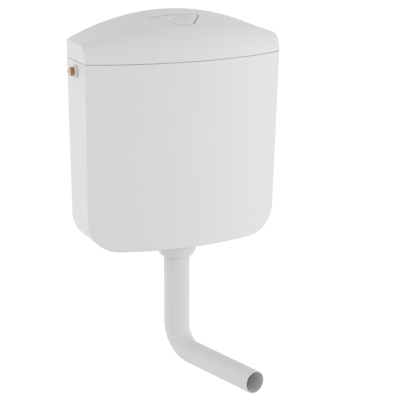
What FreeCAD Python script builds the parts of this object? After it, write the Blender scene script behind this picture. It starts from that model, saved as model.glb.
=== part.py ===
import FreeCAD, Part
import math
import os
from FreeCAD import Vector

# A low-level toilet cistern: a moulded plastic tank that hangs on a wall, an arched lid with a
# push plate, the flush valve and the fill valve inside, and the bend that carries the flush down
# to the pan. Millimetres. X runs to the right seen from the front, Y into the wall, Z up. The
# origin is on the wall, midway between the two screw holes in the tank's back.

# Tank
tank_width = 392.0
tank_side_depth = 98.0
front_bow = 44.0
tank_height = 357.0
tank_wall = 3.0
side_lean = 4.0
front_lean = 13.5
underside_rise = 1.5
bottom_corner_radius = 57.0
front_edge_radius = 3.0
rim_above_screws = 25.0
rim_z = rim_above_screws
half_width = tank_width / 2

# Rim of the tank and the edge of the lid
lid_wall = 3.0
lid_gap = 1.0
lip_clearance = 0.8
lip_thickness = 2.0
lip_height = 6.0
lip_inset = lid_wall + lip_clearance
band_thickness = lip_inset + lip_thickness
band_height = 5.0
bead_height = 3.0

# Wall screw holes
screw_spacing = 280.0
screw_hole_radius = 4.5
screw_boss_radius = 11.0
screw_boss_height = 2.5

# Lid
back_crown = 79.5
back_end_height = 33.4
crease_crown = 70.5
crease_end_height = 33.2
crease_behind_front_middle = 72.0
crease_behind_front_end = 25.0
quarter_round = 0.5523
lid_edge_radius = 1.6
lid_rib_positions = (-140.0, -95.0, 95.0, 140.0)
lid_rib_thickness = 2.0
lid_rib_depth = 8.0

# Push plate and the surround that carries it
aperture_back = 6.0
aperture_back_half = 63.4
plate_back = 46.0
plate_back_half = 48.5
plate_corner_depth = 57.5
plate_corner_half = 45.8
plate_tip_depth = 106.4
plate_tip_radius = 27.0
plate_gap = 2.0
surround_gap = 0.35
plate_skin = 2.5
plate_skirt_depth = 9.0
plate_skirt_wall = 1.8
plate_skirt_behind_corner = 2.0
plate_sink = 0.3
dish_radius = 68.0
dish_depth = 4.0
dish_behind_tip = 27.0
plate_fall_at_dish = 1.0
surround_skin = 2.6
surround_flange = 2.0
surround_flange_width = 5.0
surround_above_rim = 45.0
lid_form_below_rim = 5.0
lid_sections = 8
hinge_pin_radius = 2.0
hinge_clearance = 0.06
hinge_lug_half_gap = 30.0
hinge_lug_thickness = 4.0
hinge_behind_plate_edge = 4.5
hinge_below_surface = 9.0
hinge_side_gap = 0.5
hinge_lug_wall = 2.2
hinge_lug_back = 3.5
hinge_arm_above = 1.5
hinge_arm_into_wall = 3.0
press_nose_below_skin = 4.0
press_nose_height = 7.0

# Outlet
outlet_to_wall = 56.0
outlet_hole_radius = 30.8
outlet_pad_radius = 43.0
outlet_pad_height = 1.0
gasket_thickness = 2.0
flange_radius = 43.0
flange_thickness = 5.0
spigot_radius = 29.8
spigot_length = 34.5
thread_clearance = 0.3
seat_radius = 28.0
seat_bore = 25.0
seat_height = 14.0
seat_chamfer = 1.5
seat_bore_depth = 4.0
shoulder_bore = 22.5
shoulder_height = 4.0
pipe_stop_gap = 1.0
lock_nut_radius = 35.6
lock_nut_height = 7.0
lock_nut_notches = 8
lock_nut_notch_radius = 3.0
lock_nut_notch_out = 1.0
union_radius = 38.7
union_height = 35.3
union_bowl_height = 24.0
union_foot_radius = 30.0
union_foot_rise = 3.2
union_skirt = 2.0
union_gap = 1.0
union_edge = 0.5
union_seal_seat = 1.5
seal_height = 5.0
seal_bore_gap = 0.05
seal_end_gap = 0.1
seal_side_gap = 0.2

# Flush bend
pipe_radius = 25.0
leg_radius = 22.0
pipe_wall = 2.0
bend_drop = 232.0
bend_reach = 238.0
bend_radius = 50.0
bend_swivel = 13.7
bend_sections = 6
pipe_clearance = 0.3

# Flush valve
tube_radius = 14.0
tube_wall = 1.8
overflow_below_rim = 70.0
tube_below_seal = 6.0
valve_disc_radius = 30.0
valve_disc_thickness = 3.0
valve_seal_thickness = 3.0
valve_seal_inset = 0.5
tube_hub_wall = 3.0
tube_keeper_wall = 3.5
tube_keeper_above_foot = 1.0
tube_fit_gap = 0.1
running_gap = 0.3
cage_radius = 36.0
cage_wall = 2.2
cage_height = 116.0
cage_windows = 4
cage_window_angle = 52.0
cage_window_height = 42.0
cage_foot_height = 8.0
cage_neck_height = 25.0
cage_neck_wall = 2.5
cage_vent_below_top = 12.0
cage_vent_height = 12.0
cage_vent_half = 3.0
cage_rib_half = 1.0
cage_rib_height = 15.0
cage_rib_clear = 4.0
guide_clearance = 0.8
float_cup_radius = 31.0
float_cup_height = 56.0
float_cup_wall = 2.0
float_cup_above_disc = 8.0
float_cup_skirt_above_hub = 4.0

# Lift rod and the rocker that raises it
lift_rod_radius = 3.0
lift_rod_offset = 18.0
lift_clip_height = 10.0
lift_clip_wall = 3.5
lift_clip_below_top = 6.0
lift_boss_half = 4.0
lift_bar_radius = 2.5
lift_bar_half = 8.0
rocker_half_swing = 13.0
rocker_lift_arm = 32.0
rocker_press_arm = 14.0
rocker_height = 30.0
rocker_thickness = 5.0
rocker_half_width = 9.0
rocker_pad_half = 6.5
rocker_pad_overrun = 4.0
rocker_side_step = 0.5
rocker_end_wall = 1.5
rocker_web_before_rod = 9.0
rocker_pin_radius = 2.5
rocker_pin_head_wall = 1.5
rocker_pin_head_height = 2.0
rocker_hub_radius = 5.5
push_rod_radius = 4.0
push_rod_head_radius = 6.0
push_rod_head_height = 3.0
push_rod_head_round = 1.0
press_nose_radius = 4.0

# Bridge
bridge_half_width = 22.0
bridge_thickness = 3.0
bridge_below_rim = 6.0
bridge_flange_height = 10.0
bridge_end_gap = 0.6
bridge_side_wall = 2.4
bridge_side_from_front = 8.0
bridge_side_from_back = 4.0
ear_inner_half = 10.0
ear_thickness = 3.0
ear_half_length = 10.0
guide_height = 6.0
guide_wall = 2.5
guide_above_rocker = 14.0
ledge_depth = 8.0
ledge_height = 10.0
ledge_overhang = 4.0
ledge_web_thickness = 2.5
ledge_web_height = 18.0

# Water inlet on the left and the plugged spare inlet on the right
inlet_to_wall = 51.0
inlet_below_rim = 17.5
inlet_thread_radius = 8.33
inlet_free_thread = 7.0
inlet_thread_relief = 0.4
inlet_end_chamfer = 0.8
inlet_bore = 5.0
inlet_stand_out = 14.5
inlet_nut_radius = 11.8
inlet_nut_height = 6.0
inlet_nut_round = 1.2
inlet_seat_gap = 0.05
inlet_flange_across = 24.0
inlet_flange_thickness = 4.0
inlet_tail_radius = 7.0
inlet_tail_length = 12.0
inlet_washer_thickness = 2.3
inlet_washer_radius = 11.8
inlet_hole_clearance = 0.4
inlet_thread_gap = 0.1
plug_head_radius = 12.0
plug_head_thickness = 3.5
plug_head_round = 2.0
plug_shank_length = 14.0
plug_nut_radius = 13.0
plug_nut_height = 5.0
strainer_radius = 4.4
strainer_length = 16.0
strainer_wall = 0.8
strainer_slots = 6
strainer_slot_half = 0.6
strainer_slot_from_lip = 3.0
strainer_slot_from_end = 2.0
strainer_lip_thickness = 1.0
strainer_lip_gap = 0.05
strainer_inset = 2.0

# Fill valve
valve_pipe_radius = 10.5
valve_pipe_length = 54.0
valve_bore = 5.0
nozzle_seat_radius = 3.0
nozzle_seat_depth = 5.0
valve_fit_gap = 0.1
tail_end_gap = 0.5
saddle_wall = 2.0
saddle_drop = 5.0
head_radius = 15.0
head_thickness = 10.0
head_cap_radius = 17.0
head_cap_thickness = 8.0
head_cap_grips = 12
head_cap_grip_radius = 2.2
head_cap_grip_out = 1.0
pilot_nozzle_radius = 3.0
pilot_nozzle_length = 2.0
pilot_hole_radius = 0.9
diaphragm_radius = 13.0
diaphragm_thickness = 1.6
diaphragm_side_gap = 0.3
diaphragm_face_gap = 0.2
bleed_hole_radius = 0.6
down_pipe_radius = 8.5
down_pipe_bore = 6.0
down_pipe_length = 132.0
down_pipe_position = 32.0
down_collar_radius = 12.0
down_collar_height = 4.0
down_pipe_lead_in = 0.9
down_pipe_lead_depth = 1.0
filling_tube_radius = 7.8
filling_tube_wall = 1.6
filling_tube_above_floor = 40.5
filling_tube_overlap = 12.0

# Float and float arm
fill_float_length = 56.0
fill_float_width = 54.0
fill_float_height = 50.0
fill_float_corner = 8.0
fill_float_round = 2.0
fill_float_rise = 18.0
arm_length = 54.0
arm_thickness = 4.0
arm_height = 7.0
arm_side_offset = 20.0
arm_pivot_above = 11.5
arm_tab_length = 14.5
arm_tab_clearance = 5.2
arm_pin_radius = 1.8
arm_pin_head_wall = 1.4
arm_pin_head_height = 1.5
arm_pin_end_gap = 0.5
arm_lug_offset = 6.0
arm_lug_wall = 2.0
arm_side_gap = 0.4
arm_hub_wall = 1.2
arm_eye_radius = 6.5
arm_eye_half = 1.5
arm_tab_thickness = 2.5
arm_tab_half = 4.0
level_rod_radius = 2.5
level_slot_clearance = 0.6
level_slot_half = 0.9
level_rod_in_float = 14.0
level_collar_radius = 5.0
level_collar_height = 2.0
level_play = 1.3

# Foam liner
liner_clearance = 0.3
liner_thickness = 5.0
liner_below_rim = 45.0
liner_opening_gap = 2.0

LEFT = Vector(-1, 0, 0)
RIGHT = Vector(1, 0, 0)
UP = Vector(0, 0, 1)


def box(x0, x1, y0, y1, z0, z1):
    return Part.makeBox(x1 - x0, y1 - y0, z1 - z0, Vector(x0, y0, z0))


def upright(radius, z0, z1, x=0.0, y=0.0):
    """A cylinder that stands at x, y between two heights."""
    return Part.makeCylinder(radius, z1 - z0, Vector(x, y, z0), UP)


def upright_ring(outer, inner, z0, z1, x=0.0, y=0.0):
    return upright(outer, z0, z1, x, y).cut(upright(inner, z0, z1, x, y))


def along_x(radius, x0, x1, y, z):
    """A cylinder that lies along X between x0 and x1."""
    return Part.makeCylinder(radius, x1 - x0, Vector(x0, y, z), RIGHT)


def along_y(radius, y0, y1, x, z):
    return Part.makeCylinder(radius, y1 - y0, Vector(x, y0, z), Vector(0, 1, 0))


def turned(profile, x, y):
    """A solid of revolution about an upright axis, from (radius, height) points."""
    points = [Vector(x + r, y, z) for r, z in profile]
    face = Part.Face(Part.makePolygon(points + points[:1]))
    return face.revolve(Vector(x, y, 0), UP, 360)


def fused(first, *others):
    return first.fuse(list(others)).removeSplitter()


def segment(a, b):
    return Part.LineSegment(a, b).toShape()


def arc(a, b, c):
    return Part.Arc(a, b, c).toShape()


def prism(wire, z0, z1):
    """The upright prism on a plan outline, between two heights."""
    face = Part.Face(wire)
    face.translate(Vector(0, 0, z0 - wire.BoundBox.ZMin))
    return face.extrude(Vector(0, 0, z1 - z0))


def swung(shape, y, z, degrees):
    """The shape turned about an axis along X."""
    turned_shape = shape.copy()
    turned_shape.rotate(Vector(0, y, z), RIGHT, degrees)
    return turned_shape


# The tank's plan: straight back, straight sides and a bowed front
def plan_edge(inset, drop=0.0):
    """Half width, corner y and front y of the plan, taken in by inset, at a depth below the rim."""
    share = drop / tank_height
    half = half_width - side_lean * share
    depth = tank_side_depth - front_lean * share
    radius = (half**2 + front_bow**2) / (2 * front_bow)
    centre_y = radius - depth - front_bow
    reach = radius - inset
    x = half - inset
    return x, centre_y - math.sqrt(reach**2 - x**2), centre_y - reach


def front_y(x, inset=0.0):
    """Y of the bowed front at the rim, at a place across the width."""
    radius = (half_width**2 + front_bow**2) / (2 * front_bow)
    centre_y = radius - tank_side_depth - front_bow
    return centre_y - math.sqrt((radius - inset) ** 2 - x**2)


def plan_wire(inset, z, drop=0.0, overrun=0.0):
    """The plan at one height, which may run on behind the wall's plane by overrun."""
    x, corner, front = plan_edge(inset, drop)
    back_left = Vector(-x, overrun - inset, z)
    back_right = Vector(x, overrun - inset, z)
    front_right = Vector(x, corner, z)
    front_left = Vector(-x, corner, z)
    return Part.Wire([
        segment(back_left, back_right),
        segment(back_right, front_right),
        arc(front_right, Vector(0, front, z), front_left),
        segment(front_left, back_left),
    ])


def plan_ring(outer_inset, inner_inset, z0, z1):
    outer = prism(plan_wire(outer_inset, z0), z0, z1)
    return outer.cut(prism(plan_wire(inner_inset, z0), z0, z1))


def tank_form(inset):
    """The tank as a solid block from its rim down, taken in by inset all round and below."""
    spare = 20.0
    low = tank_height + spare
    block = Part.makeLoft([
        plan_wire(inset, rim_z, 0.0, spare),
        plan_wire(inset, rim_z - low, low, spare),
    ], True, True)
    underside_radius = (half_width**2 + underside_rise**2) / (2 * underside_rise)
    middle_z = rim_z - tank_height + inset
    reach = half_width + spare
    edge_z = middle_z + reach**2 / (2 * underside_radius)
    top_left, top_right = Vector(-reach, -inset, rim_z), Vector(reach, -inset, rim_z)
    low_left, low_right = Vector(-reach, -inset, edge_z), Vector(reach, -inset, edge_z)
    elevation = Part.Wire([
        segment(top_left, top_right),
        segment(top_right, low_right),
        arc(low_right, Vector(0, -inset, middle_z), low_left),
        segment(low_left, top_left),
    ])
    depth = tank_side_depth + front_bow + spare
    block = block.common(Part.Face(elevation).extrude(Vector(0, -depth, 0)))
    lower_edges = [e for e in block.Edges if is_lower_side_edge(e)]
    return block.makeFillet(bottom_corner_radius - inset, lower_edges)


def is_lower_side_edge(edge):
    """True for the two edges where the sides meet the underside."""
    b = edge.BoundBox
    return b.XLength < 1 and b.YLength > tank_side_depth / 2 and b.ZMax < rim_z - tank_height / 2


def is_front_edge(edge):
    """True for the edges round the tank's front face, apart from its top one."""
    b = edge.BoundBox
    front_of_sides = b.YMax < -(tank_side_depth - front_lean) + 1
    return front_of_sides and b.ZMin < rim_z - 1


def make_tank():
    outer = tank_form(0.0)
    outer = outer.makeFillet(front_edge_radius, [e for e in outer.Edges if is_front_edge(e)])
    pad_z = rim_z - tank_height - outlet_pad_height
    outer = outer.fuse(upright(outlet_pad_radius, pad_z, floor_z, 0, -outlet_to_wall))
    outer = outer.fuse(plan_ring(lip_inset, band_thickness, rim_z, rim_z + lip_height))
    inside = tank_form(tank_wall).cut(
        plan_ring(0.0, band_thickness, rim_z - band_height, rim_z)
    )
    floor_pad = upright(outlet_pad_radius, floor_z - tank_wall, floor_z, 0, -outlet_to_wall)
    tank = outer.cut(inside.cut(floor_pad))
    for x in (-screw_spacing / 2, screw_spacing / 2):
        tank = tank.fuse(along_y(screw_boss_radius, -tank_wall - screw_boss_height, -1, x, 0))
        hole = along_y(screw_hole_radius, -tank_wall - screw_boss_height - 1, 1, x, 0)
        tank = tank.cut(hole)
    tank = tank.cut(upright(outlet_hole_radius, pad_z - 1, floor_z + 1, 0, -outlet_to_wall))
    hole_radius = inlet_thread_radius + inlet_hole_clearance
    tank = tank.cut(along_x(hole_radius, -half_width - 2, half_width + 2, -inlet_to_wall, inlet_z))
    return tank.fuse(make_ledges()).removeSplitter()


def make_ledges():
    """The two shelves near the rim that the bridge stands on, with webs under them."""
    half = bridge_half_width + ledge_overhang
    inner_front = front_y(0, band_thickness)
    low = bridge_z - ledge_height
    rear_tip = -band_thickness - ledge_depth
    front_tip = inner_front + ledge_depth
    wall = inner_front - ledge_depth
    pieces = [box(-half, half, rear_tip, 0, low, bridge_z), box(-half, half, wall, front_tip, low, bridge_z)]
    for x in (-half, half - ledge_web_thickness):
        pieces.append(ledge_web(x, 0, rear_tip, low))
        pieces.append(ledge_web(x, wall, front_tip, low))
    inside = prism(plan_wire(tank_wall - 1, rim_z), rim_z - tank_height / 2, rim_z)
    return pieces[0].fuse(pieces[1:]).common(inside)


def ledge_web(x, wall_y, tip_y, z):
    """A three-cornered web under a shelf, from the wall to the shelf's tip."""
    corners = [Vector(x, wall_y, z), Vector(x, tip_y, z), Vector(x, wall_y, z - ledge_web_height)]
    return Part.Face(Part.makePolygon(corners + corners[:1])).extrude(Vector(ledge_web_thickness, 0, 0))


# The lid: its back edge and its crease are arches of their own, with a quarter round in front
def arch_height(crown, end_height, x):
    """Height over the rim, at a place across the width, of an arch between two end heights."""
    drop = crown - end_height
    radius = (half_width**2 + drop**2) / (2 * drop)
    return crown - radius + math.sqrt(radius**2 - x**2)


def crease_y(x):
    """Y of the lid's crease, which bows less than the front does."""
    share = (x / half_width) ** 2
    middle = tank_side_depth + front_bow - crease_behind_front_middle
    end = tank_side_depth - crease_behind_front_end
    return -(middle + (end - middle) * share)


def band_height_at(x, y):
    """Height over the rim of the lid's sloping band, between its back edge and its crease."""
    back = arch_height(back_crown, back_end_height, x)
    crease = arch_height(crease_crown, crease_end_height, x)
    return back + (crease - back) * y / crease_y(x)


def lid_section(x, inset):
    """The lid's outline across its depth at one place, taken in by inset."""
    low = rim_z - lid_form_below_rim
    back = rim_z + arch_height(back_crown, back_end_height, x) - inset
    crease = rim_z + arch_height(crease_crown, crease_end_height, x) - inset
    ridge = crease_y(x)
    front = front_y(x, inset)
    pull = quarter_round
    corner_low = Vector(x, -inset, low)
    corner_high = Vector(x, -inset, back)
    fold = Vector(x, ridge, crease)
    seam = Vector(x, front, rim_z)
    seam_low = Vector(x, front, low)
    curve = Part.BezierCurve()
    curve.setPoles([
        fold,
        Vector(x, ridge + (front - ridge) * pull, crease),
        Vector(x, front, rim_z + (crease - rim_z) * pull),
        seam,
    ])
    return Part.Wire([
        segment(corner_low, corner_high),
        segment(corner_high, fold),
        curve.toShape(),
        segment(seam, seam_low),
        segment(seam_low, corner_low),
    ])


def lid_form(inset):
    """The lid as a solid block, taken in by inset all round and above."""
    reach = half_width - inset
    places = [reach * (2 * i / lid_sections - 1) for i in range(lid_sections + 1)]
    return Part.makeLoft([lid_section(x, inset) for x in places], True, False)


def lid_layer(outer_inset, inner_inset):
    return lid_form(outer_inset).cut(lid_form(inner_inset))


def above(z):
    """A block that holds everything over a height."""
    reach = tank_width
    return box(-reach, reach, -reach, reach, z, z + reach)


def tip_tangent():
    """Where the straight side of the push plate runs into its round tip."""
    centre_y = -(plate_tip_depth - plate_tip_radius)
    dx = plate_corner_half
    dy = -plate_corner_depth - centre_y
    away = math.hypot(dx, dy)
    angle = math.atan2(dy, dx) - math.acos(plate_tip_radius / away)
    x = plate_tip_radius * math.cos(angle)
    return x, centre_y + plate_tip_radius * math.sin(angle)


def button_wire(with_panel):
    """Plan of the push plate, or of the whole aperture with the fixed panel behind the plate."""
    tangent_x, tangent_y = tip_tangent()
    right = [Vector(plate_back_half, -plate_back, 0), Vector(plate_corner_half, -plate_corner_depth, 0),
             Vector(tangent_x, tangent_y, 0)]
    if with_panel:
        right.insert(0, Vector(aperture_back_half, -aperture_back, 0))
    left = [Vector(-p.x, p.y, 0) for p in right]
    edges = [segment(a, b) for a, b in zip(right, right[1:])]
    edges.append(arc(right[-1], Vector(0, -plate_tip_depth, 0), left[-1]))
    edges += [segment(b, a) for a, b in zip(left, left[1:])][::-1]
    edges.append(segment(left[0], right[0]))
    return Part.Wire(edges)


def panel_wire():
    """Plan of the fixed panel behind the push plate."""
    right = [Vector(aperture_back_half, -aperture_back, 0), Vector(plate_back_half, -plate_back, 0)]
    left = [Vector(-p.x, p.y, 0) for p in right]
    return Part.makePolygon([left[0], right[0], right[1], left[1], left[0]])


def button_column(wire, offset):
    """The prism on a button outline grown by offset, through the whole lid."""
    grown = wire.makeOffset2D(offset) if offset else wire
    return prism(grown, rim_z, rim_z + back_crown + 5)


def is_end_edge(edge):
    """True for the edges round the two flat ends of the lid, over the seam."""
    b = edge.BoundBox
    return b.XLength < 0.1 and b.ZMax > rim_z + 1 and b.YMin < -1 and b.ZMin > rim_z - 4


def make_lid():
    form = lid_form(0.0)
    form = form.makeFillet(lid_edge_radius, [e for e in form.Edges if is_end_edge(e)])
    shell = form.cut(lid_form(lid_wall)).common(above(rim_z + lid_gap))
    bead_z = rim_z + lip_height
    bead = plan_ring(0.0, band_thickness, bead_z, bead_z + bead_height)
    ribs = lid_layer(lid_wall - 1, lid_wall + lid_rib_depth)
    ribs = ribs.common(above(bead_z + bead_height + 1))
    for x in lid_rib_positions:
        half = lid_rib_thickness / 2
        strip = box(x - half, x + half, -tank_width, -1, rim_z, rim_z + back_crown)
        shell = shell.fuse(ribs.common(strip))
    bead = bead.common(lid_form(lid_wall - 1))
    shell = shell.fuse(bead)
    return shell.cut(button_column(button_wire(True), 0)).removeSplitter()


# Push plate, its surround and the rod under it
def make_push_plate():
    column = button_column(button_wire(False), -plate_gap)
    blank = lid_form(plate_sink).common(column)
    skin = blank.cut(lid_form(plate_sink + plate_skin))
    dish = Part.makeSphere(dish_radius, dish_centre)
    bowl = blank.common(Part.makeSphere(dish_radius + plate_skin, dish_centre))
    inner_column = button_column(button_wire(False), -plate_gap - plate_skirt_wall)
    skirt = blank.cut(lid_form(plate_sink + plate_skirt_depth)).cut(inner_column)
    skirt_start = -plate_corner_depth - plate_skirt_behind_corner
    skirt = skirt.common(box(-plate_back_half, plate_back_half, -plate_tip_depth, skirt_start,
                             rim_z, rim_z + back_crown))
    nose_z = press_face_z + press_nose_radius
    boss = upright(press_nose_radius, nose_z, nose_z + press_nose_height, 0, press_y)
    boss = boss.fuse(Part.makeSphere(press_nose_radius, Vector(0, press_y, nose_z)))
    plate = skin.fuse([bowl, skirt, boss.common(blank)]).cut(dish)
    for side in (-1, 1):
        inner = side * (hinge_lug_half_gap - hinge_side_gap - hinge_lug_thickness)
        outer = side * (hinge_lug_half_gap - hinge_side_gap)
        lug = hinge_lug(min(inner, outer), max(inner, outer), hinge_y + hinge_lug_back)
        far = side * (hinge_lug_half_gap + hinge_lug_thickness)
        pin = along_x(hinge_pin_radius, min(outer, far), max(outer, far), hinge_y, hinge_z)
        plate = plate.fuse([lug, pin])
    return plate.removeSplitter()


def hinge_lug(x0, x1, y_back):
    """A lug that hangs from the underside of the skin down round the hinge axis."""
    radius = hinge_lug_radius
    stem = box(x0, x1, hinge_y - radius, y_back, hinge_z, rim_z + back_crown)
    stem = stem.common(lid_form(plate_sink + 1.0))
    return stem.fuse(along_x(radius, x0, x1, hinge_y, hinge_z))


def make_button_surround():
    panel_column = button_column(panel_wire(), -surround_gap)
    panel = lid_layer(0.0, surround_skin).common(panel_column)
    low = lid_wall + surround_gap + surround_flange
    wall = lid_layer(0.0, low).common(panel_column)
    wall = wall.cut(button_column(panel_wire(), -surround_gap - surround_flange))
    flange = lid_layer(lid_wall + surround_gap, low)
    flange = flange.common(button_column(button_wire(True), surround_flange_width))
    flange = flange.cut(button_column(button_wire(False), 0))
    flange = flange.cut(button_column(panel_wire(), -surround_gap - surround_flange))
    behind_flange = lid_wall + surround_gap
    crown = box(-half_width, half_width, -plate_tip_depth - surround_flange_width * 2, -behind_flange,
                rim_z + surround_above_rim, rim_z + back_crown)
    surround = panel.fuse([wall, flange]).common(crown)
    radius = hinge_lug_radius
    wall_y = -plate_back + surround_gap + surround_flange
    for side in (-1, 1):
        inner = side * hinge_lug_half_gap
        outer = side * (hinge_lug_half_gap + hinge_lug_thickness)
        x0, x1 = min(inner, outer), max(inner, outer)
        arm_back = wall_y + hinge_arm_into_wall
        arm = box(x0, x1, hinge_y, arm_back, hinge_z - radius, hinge_z + hinge_arm_above)
        post = box(x0, x1, wall_y - surround_flange, arm_back, hinge_z - radius, rim_z + back_crown)
        post = post.common(lid_form(surround_skin - 1))
        lug = along_x(radius, x0, x1, hinge_y, hinge_z)
        surround = surround.fuse([arm, post, lug])
        bore = along_x(hinge_pin_radius + hinge_clearance, x0 - 1, x1 + 1, hinge_y, hinge_z)
        surround = surround.cut(bore)
    return surround.removeSplitter()


def make_push_rod():
    """The short rod that the plate presses, with a round foot on the rocker's pad."""
    top = press_face_z - running_gap
    shaft = upright(push_rod_radius, push_foot_z, top, 0, press_y)
    foot = Part.makeSphere(push_rod_radius, Vector(0, press_y, push_foot_z))
    head = upright(push_rod_head_radius, top - push_rod_head_height, top, 0, press_y)
    head = head.makeFillet(push_rod_head_round, [e for e in head.Edges if e.BoundBox.ZMin > top - 0.1])
    return fused(shaft, foot, head)


# Bridge, rocker and lift rod
def make_bridge():
    inner_front = front_y(0, band_thickness)
    y0 = inner_front + bridge_end_gap
    y1 = -band_thickness - bridge_end_gap
    half = bridge_half_width
    top = bridge_z + bridge_thickness
    deck = box(-half, half, y0, y1, bridge_z, top)
    flange_top = top + bridge_flange_height
    side_y0 = y0 + bridge_side_from_front
    side_y1 = y1 - bridge_side_from_back
    sides = [box(x, x + bridge_side_wall, side_y0, side_y1, bridge_z, flange_top)
             for x in (-half, half - bridge_side_wall)]
    deck = deck.fuse(sides)
    limits = prism(plan_wire(band_thickness + bridge_end_gap, rim_z), bridge_z - 1, rim_z + back_crown)
    deck = deck.common(limits)
    ears = []
    guide_half = push_rod_radius + guide_wall
    for s in (-1, 1):
        x0 = min(s * ear_inner_half, s * (ear_inner_half + ear_thickness))
        ear = box(x0, x0 + ear_thickness, rocker_y - ear_half_length, rocker_y + ear_half_length,
                  top - 1, rocker_z)
        ear = ear.fuse(along_x(ear_half_length, x0, x0 + ear_thickness, rocker_y, rocker_z))
        prop = box(x0, x0 + ear_thickness, press_y - guide_half, rocker_y, top - 1, guide_z + guide_height)
        ears += [ear, prop]
    span = ear_inner_half + ear_thickness
    guide = box(-span, span, press_y - guide_half, press_y + guide_half, guide_z, guide_z + guide_height)
    bridge = deck.fuse(ears + [guide])
    bridge = bridge.cut(upright(push_rod_radius + running_gap, top + 5, guide_z + 20, 0, press_y))
    bore = rocker_pin_radius
    bridge = bridge.cut(along_x(bore, -span - 1, span + 1, rocker_y, rocker_z))
    rod_hole = upright(lift_rod_radius + guide_clearance, bridge_z - 1, flange_top, 0, lift_rod_y)
    return bridge.cut(rod_hole).removeSplitter()


def make_rocker_pin():
    """The pin through the bridge's ears, with a head on one end."""
    span = ear_inner_half + ear_thickness
    end = span + rocker_pin_head_height
    pin = along_x(rocker_pin_radius, -span, end, rocker_y, rocker_z)
    head = along_x(rocker_pin_radius + rocker_pin_head_wall, span, end, rocker_y, rocker_z)
    return fused(pin, head)


def make_rocker():
    """The rocker, shaped level and then swung to its rest position."""
    half = rocker_half_width
    plate_top = rocker_z + rocker_thickness / 2
    plate_low = rocker_z - rocker_thickness / 2
    pad_end = press_y - rocker_pad_overrun
    pad = box(-rocker_pad_half, rocker_pad_half, pad_end, rocker_y, plate_low, plate_top)
    hub = along_x(rocker_hub_radius, -half, half, rocker_y, rocker_z)
    arm_end = lift_rod_y + lift_bar_radius + rocker_end_wall
    slot_half = lift_rod_radius + guide_clearance
    fork_top = rocker_z - lift_bar_radius - running_gap
    fork_low = fork_top - rocker_thickness
    side = half - rocker_side_step
    arm = box(-side, side, rocker_y, arm_end, fork_low, fork_top)
    web = box(-side, side, rocker_y, lift_rod_y - rocker_web_before_rod, fork_low, plate_top)
    rocker = pad.fuse([hub, arm, web])
    slot = box(-slot_half, slot_half, lift_rod_y - slot_half - 1, arm_end + 1, fork_low - 1, plate_top + 1)
    rocker = rocker.cut(slot)
    bore = along_x(rocker_pin_radius + hinge_clearance, -half - 1, half + 1, rocker_y, rocker_z)
    rocker = rocker.cut(bore).removeSplitter()
    return swung(rocker, rocker_y, rocker_z, -rocker_half_swing)


def make_lift_rod():
    """The rod beside the overflow tube: a clip round the tube below, a cross bar on the fork above."""
    clip_top = overflow_z - lift_clip_below_top
    clip_low = clip_top - lift_clip_height
    y = -outlet_to_wall
    clip = upright(tube_radius + lift_clip_wall, clip_low, clip_top, 0, y)
    boss_end = lift_rod_y + lift_rod_radius
    boss = box(-lift_boss_half, lift_boss_half, y, boss_end, clip_low, clip_top)
    rod = upright(lift_rod_radius, clip_low, lift_bar_z + lift_rod_radius, 0, lift_rod_y)
    bar = along_x(lift_bar_radius, -lift_bar_half, lift_bar_half, lift_rod_y, lift_bar_z)
    whole = clip.fuse([boss, rod, bar])
    return whole.cut(upright(tube_radius, clip_low - 1, clip_top + 1, 0, y)).removeSplitter()


# Flush valve
def make_valve_base():
    low = floor_z - spigot_length
    seat_top = seat_z
    flange_low = floor_z + gasket_thickness
    flange_top = flange_low + flange_thickness
    socket = pipe_radius + pipe_clearance
    shoulder_low = pipe_top_z + pipe_stop_gap
    shoulder_top = shoulder_low + shoulder_height
    profile = [
        (socket, low), (spigot_radius, low), (spigot_radius, flange_low), (flange_radius, flange_low),
        (flange_radius, flange_top), (seat_radius, flange_top), (seat_radius, seat_top - seat_chamfer),
        (seat_radius - seat_chamfer, seat_top), (seat_bore, seat_top), (seat_bore, seat_top - seat_bore_depth),
        (shoulder_bore, shoulder_top), (shoulder_bore, shoulder_low), (socket, shoulder_low),
    ]
    return turned(profile, 0, -outlet_to_wall)


def make_base_gasket():
    inner = spigot_radius + thread_clearance
    return upright_ring(flange_radius, inner, floor_z, floor_z + gasket_thickness, 0, -outlet_to_wall)


def make_lock_nut():
    top = lock_nut_z + lock_nut_height
    low = lock_nut_z
    y = -outlet_to_wall
    nut = upright_ring(lock_nut_radius, spigot_radius + thread_clearance, low, top, 0, y)
    notch_ring = lock_nut_radius + lock_nut_notch_out
    for i in range(lock_nut_notches):
        angle = 2 * math.pi * i / lock_nut_notches
        x_notch = notch_ring * math.cos(angle)
        y_notch = y + notch_ring * math.sin(angle)
        nut = nut.cut(upright(lock_nut_notch_radius, low - 1, top + 1, x_notch, y_notch))
    return nut


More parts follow.
